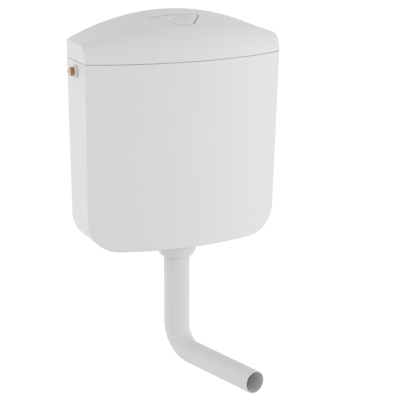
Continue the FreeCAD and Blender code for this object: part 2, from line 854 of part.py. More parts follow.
def make_union_nut():
    """The bowl under the tank: it covers the lock nut and draws the pipe seal up to the spigot."""
    top = union_top_z
    low = top - union_height
    bore = pipe_radius + pipe_clearance
    thread = spigot_radius + thread_clearance
    skirt = union_radius - union_skirt
    recess_z = lock_nut_z - union_gap
    bowl_top = low + union_bowl_height
    foot_z = low + union_foot_rise
    rise = union_bowl_height - union_foot_rise
    flare = union_radius - union_foot_radius
    bowl_radius = (flare**2 + rise**2) / (2 * flare)
    turn = math.asin(rise / bowl_radius) / 2
    middle = Vector(union_radius - bowl_radius * (1 - math.cos(turn)), 0,
                    bowl_top - bowl_radius * math.sin(turn))
    outline = [(union_foot_radius, foot_z), (bore, low), (bore, seal_low_z),
               (bore + union_seal_seat, seal_low_z), (thread, seal_top_z), (thread, recess_z),
               (skirt, recess_z), (skirt, top), (union_radius - union_edge, top),
               (union_radius, top - union_edge), (union_radius, bowl_top)]
    points = [Vector(x, 0, z) for x, z in outline]
    edges = [segment(a, b) for a, b in zip(points, points[1:])]
    edges.append(arc(points[-1], middle, points[0]))
    nut = Part.Face(Part.Wire(edges)).revolve(Vector(0, 0, 0), UP, 360)
    nut.translate(Vector(0, -outlet_to_wall, 0))
    return nut


def make_pipe_seal():
    inner = pipe_radius + seal_bore_gap
    low, top = seal_low_z + seal_end_gap, seal_top_z - seal_end_gap
    low_outer = pipe_radius + pipe_clearance + union_seal_seat - seal_side_gap
    profile = [(inner, low), (low_outer, low), (spigot_radius - thread_clearance, top), (inner, top)]
    return turned(profile, 0, -outlet_to_wall)


def bend_ring(share, thickness):
    """The bend's round section part of the way round, narrowing from the pipe to the leg."""
    angle = math.pi / 2 * share
    radius = pipe_radius + (leg_radius - pipe_radius) * share - thickness
    y = -outlet_to_wall - bend_radius * (1 - math.cos(angle))
    z = leg_z + bend_radius - bend_radius * math.sin(angle)
    normal = Vector(0, -math.sin(angle), -math.cos(angle))
    return Part.Wire(Part.makeCircle(radius, Vector(0, y, z), normal))


def bend_solid(thickness, overrun):
    """Pipe, bend and leg as one solid bar, taken in by a wall thickness."""
    rings = [bend_ring(i / bend_sections, thickness) for i in range(bend_sections + 1)]
    elbow = Part.makeLoft(rings, True, False)
    start_z = leg_z + bend_radius
    pipe = upright(pipe_radius - thickness, start_z, pipe_top_z + overrun, 0, -outlet_to_wall)
    leg_start = -outlet_to_wall - bend_radius
    leg_end = -outlet_to_wall - bend_reach - overrun
    leg = along_y(leg_radius - thickness, leg_end, leg_start, 0, leg_z)
    return pipe.fuse([elbow, leg])


def make_flush_bend():
    bend = bend_solid(0.0, 0.0).cut(bend_solid(pipe_wall, 1.0)).removeSplitter()
    bend.rotate(Vector(0, -outlet_to_wall, 0), UP, bend_swivel)
    return bend


def make_valve_cage():
    """The drum that stands on the flange round the float cup, with windows at its foot."""
    low = floor_z + gasket_thickness + flange_thickness
    top = low + cage_height
    y = -outlet_to_wall
    inner = cage_radius - cage_wall
    neck_bore = tube_radius + guide_clearance
    neck_outer = neck_bore + cage_neck_wall
    drum = upright_ring(cage_radius, inner, low, top, 0, y)
    roof = upright_ring(cage_radius, neck_bore, top - cage_wall, top, 0, y)
    neck = upright_ring(neck_outer, neck_bore, top - cage_wall, top + cage_neck_height, 0, y)
    cage = drum.fuse([roof, neck])
    window_low = low + cage_foot_height
    half_chord = cage_radius * math.tan(math.radians(cage_window_angle / 2))
    for i in range(cage_windows):
        angle = 360 / cage_windows * (i + 0.5)
        window = box(0, cage_radius + 2, y - half_chord, y + half_chord,
                     window_low, window_low + cage_window_height)
        window.rotate(Vector(0, y, 0), UP, angle)
        cage = cage.cut(window)
    vent_top = top - cage_vent_below_top
    vent = box(-cage_radius, cage_radius, y - cage_vent_half, y + cage_vent_half,
               vent_top - cage_vent_height, vent_top)
    for i in range(cage_windows):
        rib = box(neck_outer - 1, inner - cage_rib_clear, y - cage_rib_half, y + cage_rib_half,
                  top - 1, top + cage_rib_height)
        rib.rotate(Vector(0, y, 0), UP, 360 / cage_windows * i)
        cage = cage.fuse(rib)
    return cage.cut(vent).removeSplitter()


def make_lift_tube():
    """The overflow tube that the rod lifts, with the valve disc near its foot."""
    y = -outlet_to_wall
    disc_low = seat_z + valve_seal_thickness
    disc = upright(valve_disc_radius, disc_low, disc_low + valve_disc_thickness, 0, y)
    hub = upright(tube_radius + tube_hub_wall, disc_low, disc_low + float_cup_above_disc, 0, y)
    foot = seat_z - tube_below_seal
    keeper_low = foot + tube_keeper_above_foot
    keeper = upright(tube_radius + tube_keeper_wall, keeper_low, seat_z - tube_fit_gap, 0, y)
    barrel = upright(tube_radius, foot, overflow_z, 0, y)
    solid = barrel.fuse([disc, hub, keeper])
    return solid.cut(upright(tube_radius - tube_wall, foot - 1, overflow_z + 1, 0, y)).removeSplitter()


def make_valve_seal():
    outer = valve_disc_radius - valve_seal_inset
    inner = tube_radius + tube_fit_gap
    return upright_ring(outer, inner, seat_z, seat_z + valve_seal_thickness, 0, -outlet_to_wall)


def make_float_cup():
    """The air bell on the tube: closed above, open below."""
    y = -outlet_to_wall
    low = seat_z + valve_seal_thickness + float_cup_above_disc
    top = low + float_cup_height
    hub = tube_radius + tube_fit_gap
    skirt_low = low + float_cup_skirt_above_hub
    cup = upright_ring(float_cup_radius, float_cup_radius - float_cup_wall, skirt_low, top, 0, y)
    roof = upright_ring(float_cup_radius, hub, top - float_cup_wall, top, 0, y)
    sleeve = upright_ring(hub + float_cup_wall, hub, low, top, 0, y)
    return fused(cup, roof, sleeve)


# Water inlet, spare inlet and fill valve
def make_inlet_nipple():
    """The brass tail of the fill valve, cut with a pipe thread where it stands out of the tank."""
    y, z = -inlet_to_wall, inlet_z
    flange_x = inlet_flange_x
    end_x = -half_width - inlet_stand_out
    relief_x = end_x + inlet_end_chamfer + inlet_free_thread
    thread = along_x(inlet_thread_radius, end_x, relief_x, y, z)
    thread = thread.makeChamfer(inlet_end_chamfer, [e for e in thread.Edges if e.BoundBox.XMax < end_x + 0.1])
    shank = along_x(inlet_thread_radius - inlet_thread_relief, relief_x, flange_x + 1, y, z)
    flange = hexagon_bar(inlet_flange_across, flange_x, flange_x + inlet_flange_thickness, y, z)
    tail_end = flange_x + inlet_flange_thickness + inlet_tail_length
    tail = along_x(inlet_tail_radius, flange_x, tail_end, y, z)
    nipple = shank.fuse([thread, flange, tail])
    bore = along_x(inlet_bore, end_x - 1, tail_end + 1, y, z)
    return nipple.cut(bore).removeSplitter()


def hexagon_bar(across, x0, x1, y, z):
    """A hexagonal bar along X, measured across its flats."""
    radius = across / 2 / math.cos(math.pi / 6)
    angles = [math.pi / 3 * i for i in range(7)]
    points = [Vector(x0, y + radius * math.cos(a), z + radius * math.sin(a)) for a in angles]
    return Part.Face(Part.makePolygon(points)).extrude(Vector(x1 - x0, 0, 0))


def make_inlet_nut():
    """The round plastic nut that holds the inlet to the outside of the tank."""
    y, z = -inlet_to_wall, inlet_z
    seat = -outer_seat_x
    end = seat - inlet_nut_height
    nut = along_x(inlet_nut_radius, end, seat, y, z)
    nut = nut.makeFillet(inlet_nut_round, [e for e in nut.Edges if e.BoundBox.XMax < end + 0.1])
    bore = along_x(inlet_thread_radius + inlet_thread_gap, end - 1, seat + 1, y, z)
    return nut.cut(bore)


def make_inlet_washer():
    low = inlet_flange_x - inlet_washer_thickness
    y, z = -inlet_to_wall, inlet_z
    ring = along_x(inlet_washer_radius, low, inlet_flange_x, y, z)
    return ring.cut(along_x(inlet_thread_radius + inlet_thread_gap, low - 1, inlet_flange_x + 1, y, z))


def make_strainer():
    """The slotted thimble that sits in the brass tail and keeps grit out."""
    y, z = -inlet_to_wall, inlet_z
    x0 = -half_width - inlet_stand_out + strainer_inset
    x1 = x0 + strainer_length
    thimble = along_x(strainer_radius, x0, x1, y, z)
    thimble = thimble.cut(along_x(strainer_radius - strainer_wall, x0 - 1, x1 - strainer_wall, y, z))
    for i in range(strainer_slots):
        slot = box(x0 + strainer_slot_from_lip, x1 - strainer_slot_from_end, y, y + strainer_radius + 1,
                   z - strainer_slot_half, z + strainer_slot_half)
        slot.rotate(Vector(0, y, z), RIGHT, 360 / strainer_slots * i)
        thimble = thimble.cut(slot)
    lip = along_x(inlet_bore - strainer_lip_gap, x0, x0 + strainer_lip_thickness, y, z)
    lip = lip.cut(along_x(strainer_radius - strainer_wall, x0 - 1, x0 + 2, y, z))
    return fused(thimble, lip)


def make_fill_valve_body():
    y, z = -inlet_to_wall, inlet_z
    x0 = valve_body_x
    x1 = x0 + valve_pipe_length
    pipe = along_x(valve_pipe_radius, x0, x1 + 1, y, z)
    head = along_x(head_radius, x1, head_face_x, y, z)
    down = upright(down_pipe_radius, z - down_pipe_length, z, down_pipe_x, y)
    saddle_low = z - valve_pipe_radius - saddle_drop
    saddle = upright(down_pipe_radius + saddle_wall, saddle_low, z, down_pipe_x, y)
    collar = upright(down_collar_radius, collar_z, collar_z + down_collar_height, down_pipe_x, y)
    lug_y0 = y + arm_lug_offset
    lug_y1 = y + arm_side_offset - arm_thickness / 2 - arm_side_gap
    lug = box(x1 + 1, head_face_x - 1, lug_y0, lug_y1, z, arm_pivot_z + arm_pin_radius + arm_lug_wall)
    body = pipe.fuse([head, down, saddle, collar, lug])
    tail_end = x0 + inlet_tail_length + tail_end_gap
    body = body.cut(along_x(inlet_tail_radius + valve_fit_gap, x0 - 1, tail_end, y, z))
    body = body.cut(along_x(valve_bore, x0 - 1, head_face_x - nozzle_seat_depth, y, z))
    body = body.cut(along_x(nozzle_seat_radius, x0, head_face_x + 1, y, z))
    body = body.cut(upright(down_pipe_bore, z - down_pipe_length - 1, z, down_pipe_x, y))
    socket_z = z - down_pipe_length
    lead_in = down_pipe_bore + down_pipe_lead_in
    body = body.cut(upright(lead_in, socket_z - 1, socket_z + down_pipe_lead_depth, down_pipe_x, y))
    pin_hole = along_y(arm_pin_radius, lug_y0 - 1, 0, arm_pivot_x, arm_pivot_z)
    return body.cut(pin_hole).removeSplitter()


def make_head_cap():
    """The ribbed cap screwed over the head, with the pilot nozzle in its middle."""
    y, z = -inlet_to_wall, inlet_z
    x0 = head_face_x
    x1 = x0 + head_cap_thickness
    cap = along_x(head_cap_radius, x0, x1, y, z)
    recess_end = x0 + diaphragm_thickness + diaphragm_face_gap
    recess = along_x(diaphragm_radius + diaphragm_side_gap, x0 - 1, recess_end, y, z)
    nozzle = along_x(pilot_nozzle_radius, x1 - 1, x1 + pilot_nozzle_length, y, z)
    reach = head_cap_radius + head_cap_grip_out
    for i in range(head_cap_grips):
        angle = 2 * math.pi * i / head_cap_grips
        grip_y = y + reach * math.cos(angle)
        grip_z = z + reach * math.sin(angle)
        cap = cap.cut(along_x(head_cap_grip_radius, x0 - 1, x1 + 1, grip_y, grip_z))
    pilot_hole = along_x(pilot_hole_radius, x0 - 1, x1 + pilot_nozzle_length + 1, y, z)
    return fused(cap, nozzle).cut(recess).cut(pilot_hole)


def make_diaphragm():
    y, z = -inlet_to_wall, inlet_z
    x0 = head_face_x + diaphragm_face_gap / 2
    x1 = x0 + diaphragm_thickness
    disc = along_x(diaphragm_radius, x0, x1, y, z)
    return disc.cut(along_x(bleed_hole_radius, x0 - 1, x1 + 1, y, z))


def make_float_arm():
    """The arm beside the fill valve, shaped level and then swung down to the empty position."""
    y = -inlet_to_wall + arm_side_offset
    z = arm_pivot_z
    half = arm_height / 2
    side0, side1 = y - arm_thickness / 2, y + arm_thickness / 2
    eye_x = level_rod_x
    bar = box(eye_x - arm_eye_radius, arm_pivot_x, side0, side1, z - half, z + half)
    hub = along_y(half + arm_hub_wall, side0, side1, arm_pivot_x, z)
    eye = upright(arm_eye_radius, z - arm_eye_half, z + arm_eye_half, eye_x, y)
    tab_x = head_face_x + head_cap_thickness + arm_tab_clearance
    tab_end = tab_x + arm_tab_thickness
    tab_y = -inlet_to_wall - arm_tab_half
    shoulder = box(arm_pivot_x, tab_end, side0, side1, z - half, z + half)
    beam = box(tab_x, tab_end, tab_y, side1, z - half, z + half)
    tab = box(tab_x, tab_end, tab_y, tab_y + 2 * arm_tab_half, z - arm_tab_length, z + half)
    arm = bar.fuse([hub, shoulder, beam, tab])
    around = arm_eye_radius + 1
    notch = box(eye_x - around, eye_x + around, y - around, y + around, z + arm_eye_half, z + half + 1)
    notch = notch.fuse(box(eye_x - around, eye_x + around, y - around, y + around,
                           z - half - 1, z - arm_eye_half))
    arm = arm.cut(notch).fuse(eye)
    slot_radius = level_rod_radius + level_slot_clearance
    slot_x0, slot_x1 = eye_x - level_slot_half, eye_x + level_slot_half
    slot = upright(slot_radius, z - half, z + half, slot_x0, y).fuse(
        [upright(slot_radius, z - half, z + half, slot_x1, y),
         box(slot_x0, slot_x1, y - slot_radius, y + slot_radius, z - half, z + half)])
    arm = arm.cut(slot)
    arm = arm.cut(along_y(arm_pin_radius + hinge_clearance, side0 - 1, side1 + 1, arm_pivot_x, z))
    arm = arm.removeSplitter()
    arm.rotate(Vector(arm_pivot_x, 0, z), Vector(0, 1, 0), -arm_half_swing)
    return arm


def make_arm_pin():
    y0 = -inlet_to_wall + arm_lug_offset
    y1 = -inlet_to_wall + arm_side_offset + arm_thickness / 2 + arm_pin_end_gap
    end = y1 + arm_pin_head_height
    pin = along_y(arm_pin_radius, y0, end, arm_pivot_x, arm_pivot_z)
    return fused(pin, along_y(arm_pin_radius + arm_pin_head_wall, y1, end, arm_pivot_x, arm_pivot_z))


def make_fill_float():
    """The foam block that slides on the down pipe and carries the level rod."""
    y = -inlet_to_wall
    x0 = down_pipe_x - fill_float_length / 2
    x1 = down_pipe_x + fill_float_length / 2
    y0 = y - fill_float_width / 2
    block = box(x0, x1, y0, y0 + fill_float_width, float_low_z, float_top_z)
    uprights = [e for e in block.Edges if e.BoundBox.ZLength > fill_float_height / 2]
    block = block.makeFillet(fill_float_corner, uprights)
    rims = [e for e in block.Edges if e.BoundBox.ZLength < 0.1]
    block = block.makeFillet(fill_float_round, rims)
    bore = upright(down_pipe_radius + guide_clearance, float_low_z - 1, float_top_z + 1, down_pipe_x, y)
    block = block.cut(bore)
    rod_hole_low = float_top_z - level_rod_in_float
    return block.cut(upright(level_rod_radius, rod_hole_low, float_top_z + 1, level_rod_x, level_rod_y))


def make_level_rod():
    """The threaded rod that hangs the float from the arm, with a collar under and over the eye."""
    x, y = level_rod_x, level_rod_y
    low = float_top_z - level_rod_in_float
    gap = arm_eye_half + level_play
    over = arm_eye_rest_z + gap
    under = arm_eye_rest_z - gap
    rod = upright(level_rod_radius, low, over + level_collar_height, x, y)
    head = upright(level_collar_radius, over, over + level_collar_height, x, y)
    collar = upright(level_collar_radius, under - level_collar_height, under, x, y)
    return fused(rod, head, collar)


def make_filling_tube():
    """The tube that carries the incoming water quietly to the bottom of the tank."""
    y = -inlet_to_wall
    wide_top = inlet_z - down_pipe_length
    top = wide_top + filling_tube_overlap
    low = floor_z + filling_tube_above_floor
    outer = down_pipe_bore - valve_fit_gap
    tail = upright(outer, wide_top - 1, top, down_pipe_x, y)
    main = upright(filling_tube_radius, low, wide_top, down_pipe_x, y)
    bore = upright(outer - filling_tube_wall, low - 1, top + 1, down_pipe_x, y)
    return fused(tail, main).cut(bore)


def make_inlet_plug():
    """The blanking plug in the spare inlet hole on the right."""
    y, z = -inlet_to_wall, inlet_z
    seat = outer_seat_x + inlet_washer_thickness
    head = along_x(plug_head_radius, seat, seat + plug_head_thickness, y, z)
    head = head.makeFillet(plug_head_round, [e for e in head.Edges if e.BoundBox.XMin > seat + 1])
    shank = along_x(inlet_thread_radius, seat - plug_shank_length, seat + 1, y, z)
    return fused(head, shank)


def make_plug_washer():
    y, z = -inlet_to_wall, inlet_z
    end = outer_seat_x + inlet_washer_thickness
    ring = along_x(plug_head_radius, outer_seat_x, end, y, z)
    return ring.cut(along_x(inlet_thread_radius + inlet_thread_gap, outer_seat_x - 1, end + 1, y, z))


def make_plug_nut():
    y, z = -inlet_to_wall, inlet_z
    end = inner_seat_x - plug_nut_height
    bar = hexagon_bar(2 * plug_nut_radius * math.cos(math.pi / 6), end, inner_seat_x, y, z)
    return bar.cut(along_x(inlet_thread_radius + inlet_thread_gap, end - 1, inner_seat_x + 1, y, z))


# Liner
def make_foam_liner():
    """The foam lining that keeps the cold tank from sweating, open where the valve stands."""
    outer = tank_form(tank_wall + liner_clearance)
    inner = tank_form(tank_wall + liner_clearance + liner_thickness)
    top = rim_z - liner_below_rim
    liner = outer.cut(inner).cut(above(top))
    opening_top = floor_z + 2 * liner_thickness
    opening = upright(outlet_pad_radius + liner_opening_gap, rim_z - tank_height, opening_top,
                      0, -outlet_to_wall)
    return liner.cut(opening)


# Places that follow from the sizes
floor_z = rim_z - tank_height + tank_wall + outlet_pad_height
inlet_z = rim_z - inlet_below_rim
bridge_z = rim_z - bridge_below_rim
overflow_z = rim_z - overflow_below_rim
seat_z = floor_z + gasket_thickness + flange_thickness + seat_height
pipe_top_z = floor_z + flange_thickness
leg_z = pipe_top_z - bend_drop
lock_nut_z = rim_z - tank_height - outlet_pad_height - lock_nut_height
union_top_z = lock_nut_z + lock_nut_height - union_gap
seal_top_z = floor_z - spigot_length
seal_low_z = seal_top_z - seal_height

hinge_lug_radius = hinge_pin_radius + hinge_lug_wall
hinge_y = -plate_back - hinge_behind_plate_edge
hinge_z = rim_z + band_height_at(0, hinge_y) - hinge_below_surface
rocker_y = -outlet_to_wall + lift_rod_offset - rocker_lift_arm
rocker_z = rim_z + rocker_height
press_y = rocker_y - rocker_press_arm
lift_rod_y = -outlet_to_wall + lift_rod_offset
half_swing = math.radians(rocker_half_swing)
lift_bar_z = rocker_z - rocker_lift_arm * math.tan(half_swing)
push_foot_rise = rocker_thickness / 2 + push_rod_radius + running_gap
push_foot_z = (rocker_z + rocker_press_arm * math.tan(half_swing)
               + push_foot_rise / math.cos(half_swing))
dish_y = -plate_tip_depth + dish_behind_tip
dish_centre = Vector(0, dish_y, rim_z + crease_crown - plate_fall_at_dish - dish_depth + dish_radius)
press_face_z = rim_z + crease_crown - dish_depth - plate_skin - press_nose_below_skin
guide_z = rocker_z + guide_above_rocker

outer_seat_x = half_width + inlet_seat_gap
wall_lean_at_inlet = side_lean * (inlet_below_rim + plug_nut_radius) / tank_height
inner_seat_x = half_width - tank_wall - wall_lean_at_inlet - inlet_seat_gap
inlet_flange_x = -inner_seat_x + inlet_washer_thickness
valve_body_x = inlet_flange_x + inlet_flange_thickness + valve_fit_gap
head_face_x = valve_body_x + valve_pipe_length + head_thickness
down_pipe_x = valve_body_x + down_pipe_position
arm_pivot_x = head_face_x - head_thickness / 2
arm_pivot_z = inlet_z + arm_pivot_above
level_rod_x = arm_pivot_x - arm_length
level_rod_y = -inlet_to_wall + arm_side_offset
arm_half_swing = math.degrees(math.asin(fill_float_rise / 2 / arm_length))
arm_eye_rest_z = arm_pivot_z - fill_float_rise / 2
collar_z = inlet_z - down_pipe_length
float_low_z = collar_z + down_collar_height + running_gap
float_top_z = float_low_z + fill_float_height

PIECES = {
    "tank": make_tank,
    "lid": make_lid,
    "button_surround": make_button_surround,
    "push_plate": make_push_plate,
    "push_rod": make_push_rod,
    "lever_bridge": make_bridge,
    "rocker_pin": make_rocker_pin,
    "rocker": make_rocker,
    "lift_rod": make_lift_rod,
    "lift_tube": make_lift_tube,
    "valve_seal": make_valve_seal,
    "float_cup": make_float_cup,
    "valve_cage": make_valve_cage,
    "valve_base": make_valve_base,
    "base_gasket": make_base_gasket,
    "lock_nut": make_lock_nut,
    "union_nut": make_union_nut,
    "pipe_seal": make_pipe_seal,
    "flush_bend": make_flush_bend,
    "inlet_nipple": make_inlet_nipple,
    "inlet_nut": make_inlet_nut,
    "inlet_washer": make_inlet_washer,
    "strainer": make_strainer,
    "fill_valve_body": make_fill_valve_body,
    "diaphragm": make_diaphragm,
    "head_cap": make_head_cap,
    "float_arm": make_float_arm,
    "arm_pin": make_arm_pin,
    "level_rod": make_level_rod,
    "fill_float": make_fill_float,
    "filling_tube": make_filling_tube,
    "inlet_plug": make_inlet_plug,
    "plug_washer": make_plug_washer,
    "plug_nut": make_plug_nut,
    "foam_liner": make_foam_liner,
}

os.makedirs("parts", exist_ok=True)
for name, make in PIECES.items():
    make().exportStep("parts/" + name + ".step")
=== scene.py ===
import math

import bmesh
import bpy
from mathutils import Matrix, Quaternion, Vector


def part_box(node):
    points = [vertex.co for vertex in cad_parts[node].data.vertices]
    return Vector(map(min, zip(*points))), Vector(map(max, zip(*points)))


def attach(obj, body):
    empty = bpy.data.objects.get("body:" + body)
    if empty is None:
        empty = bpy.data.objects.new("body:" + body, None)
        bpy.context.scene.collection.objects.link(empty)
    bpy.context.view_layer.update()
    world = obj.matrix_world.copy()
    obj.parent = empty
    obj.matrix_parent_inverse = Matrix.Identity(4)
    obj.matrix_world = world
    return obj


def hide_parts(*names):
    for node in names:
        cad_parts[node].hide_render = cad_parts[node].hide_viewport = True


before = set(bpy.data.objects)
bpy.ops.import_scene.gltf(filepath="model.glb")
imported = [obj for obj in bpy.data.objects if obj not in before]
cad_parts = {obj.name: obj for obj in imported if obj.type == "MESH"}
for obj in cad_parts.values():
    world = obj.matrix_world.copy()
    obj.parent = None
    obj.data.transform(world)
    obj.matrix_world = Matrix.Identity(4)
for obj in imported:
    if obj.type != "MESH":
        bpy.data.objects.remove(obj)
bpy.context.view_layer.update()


# Camera
# It stands to the left of the cistern and a little above it, some two and a half metres away,
# with a long lens, so that the left side, the front and the lid are all in view.
camera_place = Vector((-1.00790, -2.36895, 0.44685))
camera_aim = Vector((0.04784, -0.06000, -0.26150))
camera_roll = Quaternion((0, 0, 1), math.radians(0.155))
camera = bpy.data.objects.new("camera", bpy.data.cameras.new("camera"))
camera.data.sensor_width = 36.0
camera.data.lens = 122.42
camera.location = camera_place
camera_turn = (camera_aim - camera_place).to_track_quat("-Z", "Y") @ camera_roll
camera.rotation_euler = camera_turn.to_euler()
bpy.context.scene.collection.objects.link(camera)
bpy.context.scene.camera = camera
bpy.context.scene.view_settings.view_transform = "Standard"


# Studio light
# A bright white room: soft panels in front on the right, low on the right and at the left, and an
# even fill from all round. The backdrop is plain white wherever it is seen or mirrored.
class Value:
    """A socket that takes part in shader maths written as plain arithmetic."""

    def __init__(self, tree, socket):
        self.tree = tree
        self.socket = socket

    def maths(self, operation, first, second):
        node = self.tree.nodes.new("ShaderNodeMath")
        node.operation = operation
        for place, term in enumerate((first, second)):
            if isinstance(term, Value):
                self.tree.links.new(term.socket, node.inputs[place])
            else:
                node.inputs[place].default_value = term
        return Value(self.tree, node.outputs[0])

    def __add__(self, other):
        return self.maths("ADD", self, other)

    def __radd__(self, other):
        return self.maths("ADD", other, self)

    def __sub__(self, other):
        return self.maths("SUBTRACT", self, other)

    def __rsub__(self, other):
        return self.maths("SUBTRACT", other, self)

    def __mul__(self, other):
        return self.maths("MULTIPLY", self, other)

    def __rmul__(self, other):
        return self.maths("MULTIPLY", other, self)


class Finish:
    """A node tree that is built one node at a time."""

    def __init__(self, tree):
        self.tree = tree
        tree.nodes.clear()

    def node(self, kind, settings, sockets, output=0):
        node = self.tree.nodes.new(kind)
        for key, setting in settings.items():
            if key == "stops":
                for stop, (place, colour) in zip(node.color_ramp.elements, setting):
                    stop.position = place
                    stop.color = colour
            else:
                setattr(node, key, setting)
        for key, term in sockets.items():
            if isinstance(term, Value):
                self.tree.links.new(term.socket, node.inputs[key])
            else:
                node.inputs[key].default_value = term
        return Value(self.tree, node.outputs[output]) if node.outputs else None


def seen_share(finish):
    """One for a ray from the camera, from a mirror or through a clear piece, and nought for the rest."""
    seen = finish.node("ShaderNodeLightPath", {}, {}, "Is Camera Ray")
    mirrored = finish.node("ShaderNodeLightPath", {}, {}, "Is Glossy Ray")
    through = finish.node("ShaderNodeLightPath", {}, {}, "Is Transmission Ray")
    return finish.node("ShaderNodeMath", {"operation": "ADD", "use_clamp": True},
                       {0: seen + mirrored, 1: through})


world = bpy.data.worlds.new("white room")
bpy.context.scene.world = world
world.use_nodes = True
room = Finish(world.node_tree)
white = (1, 1, 1, 1)
fill_strength = 0.62
backdrop_strength = 1.0
backdrop_share = seen_share(room)
fill = room.node("ShaderNodeBackground", {}, {"Color": white, "Strength": fill_strength})
backdrop = room.node("ShaderNodeBackground", {}, {"Color": white, "Strength": backdrop_strength})
mixed = room.node("ShaderNodeMixShader", {}, {0: backdrop_share, 1: fill, 2: backdrop})
room.node("ShaderNodeOutputWorld", {}, {"Surface": mixed})


tank_middle = Vector((0.0, -0.07, -0.15))


def soft_panel(name, place, width, power):
    """A square soft box that faces the middle of the tank."""
    lamp = bpy.data.lights.new(name, "AREA")
    lamp.shape = "RECTANGLE"
    lamp.size = width
    lamp.size_y = width
    lamp.energy = power
    panel = bpy.data.objects.new(name, lamp)
    panel.location = place
    panel.rotation_euler = (tank_middle - Vector(place)).to_track_quat("-Z", "Y").to_euler()
    panel.visible_camera = False
    panel.visible_glossy = False
    bpy.context.scene.collection.objects.link(panel)


soft_panel("front_right_panel", (1.9, -2.4, 0.3), 1.6, 27.4)
soft_panel("left_panel", (-2.7, 0.1, 0.1), 1.4, 19.2)
soft_panel("low_right_panel", (2.3, -1.6, -0.35), 1.0, 3.2)


# Floor
# Plain pale boards well below the cistern, where a bathroom's floor lies under it. The light
# reaches them, so they keep its shadow, and from below they are clear.
floor_level = -0.90
floor_reach = 14.0
floor_white = (0.8, 0.8, 0.8, 1)
shadow_white = (0.35, 0.35, 0.35, 1)
glow_strength = 0.82
sheet = bmesh.new()
bmesh.ops.create_grid(sheet, x_segments=2, y_segments=2, size=floor_reach)
bmesh.ops.translate(sheet, verts=sheet.verts, vec=(0, 0, floor_level))
floor_mesh = bpy.data.meshes.new("floor")
sheet.to_mesh(floor_mesh)
sheet.free()
floor = bpy.data.objects.new("floor", floor_mesh)
bpy.context.scene.collection.objects.link(floor)
floor_material = bpy.data.materials.new("pale floor")
floor_material.use_nodes = True
boards = Finish(floor_material.node_tree)
floor_share = seen_share(boards)
bare_floor = boards.node("ShaderNodeBsdfDiffuse", {}, {"Color": floor_white})
shadow_floor = boards.node("ShaderNodeBsdfDiffuse", {}, {"Color": shadow_white})
floor_glow = boards.node("ShaderNodeEmission", {}, {"Color": white, "Strength": glow_strength})
bright_floor = boards.node("ShaderNodeAddShader", {}, {0: shadow_floor, 1: floor_glow})
floor_top = boards.node("ShaderNodeMixShader", {}, {0: floor_share, 1: bare_floor, 2: bright_floor})
clear_floor = boards.node("ShaderNodeBsdfTransparent", {}, {})
floor_back = boards.node("ShaderNodeNewGeometry", {}, {}, "Backfacing")
floor_sides = boards.node("ShaderNodeMixShader", {}, {0: floor_back, 1: floor_top, 2: clear_floor})
boards.node("ShaderNodeOutputMaterial", {}, {"Surface": floor_sides})
floor_mesh.materials.append(floor_material)


# Tank
# One deep moulding of white polystyrene with a satin skin from its polished mould. Its grain is
# almost too fine to see, and the wide faces are very slightly wavy where the plastic has cooled.
tone_scale = 9.0
tone_part = 0.7
grain_part = 0.3
pale_gain = 1.012
deep_gain = 0.982
gloss_from_grain = 0.10
gloss_from_tone = 0.06
grain_strength = 0.5
wave_scale = 14.0
plastic_ior = 1.5


def moulded_plastic(name, colour, roughness, grain_size, grain_depth, wave_depth=0.0,
                    front_tint=None):
    """A moulded plastic: a fine grain in the skin, and slow changes of tone and of gloss.

    A front tint is a colour and the two places along Y where it begins and where it is full.
    """
    material = bpy.data.materials.new(name)
    material.use_nodes = True
    skin = Finish(material.node_tree)
    place = skin.node("ShaderNodeTexCoord", {}, {}, "Object")
    tone = skin.node("ShaderNodeTexNoise", {},
                     {"Vector": place, "Scale": tone_scale, "Detail": 2.0})
    grain = skin.node("ShaderNodeTexNoise", {},
                      {"Vector": place, "Scale": 1.0 / grain_size, "Detail": 3.0})
    pale = tuple(min(1.0, c * pale_gain) for c in colour) + (1,)
    deep = tuple(c * deep_gain for c in colour) + (1,)
    shade = skin.node("ShaderNodeMix", {"data_type": "RGBA"},
                      {0: tone * tone_part + grain * grain_part, 6: deep, 7: pale}, 2)
    if front_tint:
        tint, tint_start, tint_end = front_tint
        depth = skin.node("ShaderNodeSeparateXYZ", {}, {"Vector": place}, "Y")
        share = skin.node("ShaderNodeMapRange", {}, {0: depth, 1: tint_start, 2: tint_end})
        shade = skin.node("ShaderNodeMix", {"data_type": "RGBA", "blend_type": "MULTIPLY"},
                          {0: share, 6: shade, 7: tint + (1,)}, 2)
    gloss = roughness + (grain - 0.5) * gloss_from_grain + (tone - 0.5) * gloss_from_tone
    bump = skin.node("ShaderNodeBump", {},
                     {"Strength": grain_strength, "Distance": grain_depth, "Height": grain})
    if wave_depth:
        wave = skin.node("ShaderNodeTexNoise", {},
                         {"Vector": place, "Scale": wave_scale, "Detail": 1.0})
        bump = skin.node("ShaderNodeBump", {},
                         {"Strength": 1.0, "Distance": wave_depth, "Height": wave, "Normal": bump})
    surface = skin.node("ShaderNodeBsdfPrincipled", {},
                        {"Base Color": shade, "Roughness": gloss, "Normal": bump,
                         "IOR": plastic_ior})
    skin.node("ShaderNodeOutputMaterial", {}, {"Surface": surface})
    return material


def dress(node_name, material):
    """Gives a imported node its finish."""
    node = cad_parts[node_name]
    node.data.materials.clear()
    node.data.materials.append(material)


satin_grain = 0.0005
satin_depth = 0.00002
cooling_wave = 0.0003
satin_white = moulded_plastic("satin white polystyrene", (0.805, 0.791, 0.797), 0.42,
                              satin_grain, satin_depth, cooling_wave)
dress("tank", satin_white)


# Foam lining
# A thin shell of expanded foam, pressed from beads, that stops the cold tank from sweating.
bead_line_width = 0.12
bead_line_gain = 0.80
bead_line_share = 0.6
bead_strength = 0.6
foam_roughness = 0.75


